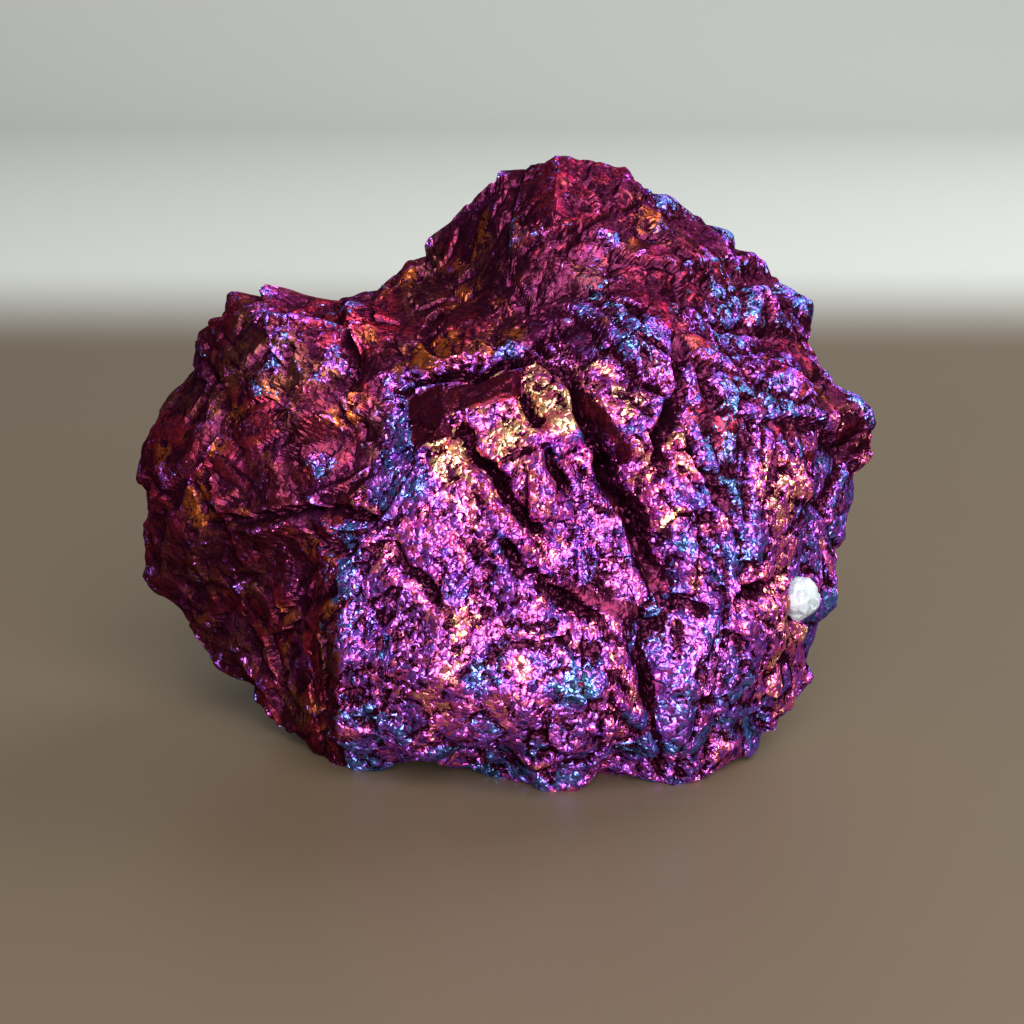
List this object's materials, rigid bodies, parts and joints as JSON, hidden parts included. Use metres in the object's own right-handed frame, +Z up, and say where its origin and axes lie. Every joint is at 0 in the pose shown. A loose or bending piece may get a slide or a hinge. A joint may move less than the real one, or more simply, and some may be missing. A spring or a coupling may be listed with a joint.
{
  "type": "peacock ore specimen",
  "caption": "Broken lump of tarnished copper ore with a rounded summit, a knobbly left shoulder, deep crevices and a small white quartz grain.",
  "frame": {"origin": "centre of the stone's outer box, at the floor it rests on", "axes": "+X to the right along the stone's widest direction, +Y to the back, +Z up"},
  "size_m": [0.097, 0.073, 0.075],
  "materials": {
    "ore": "metallic, iridescent tarnish from gold through crimson and magenta to blue",
    "quartz": "translucent white, glassy"
  },
  "bodies": {
    "root": {"ore": "ore", "quartz_grain": "quartz"}
  },
  "joints": []
}
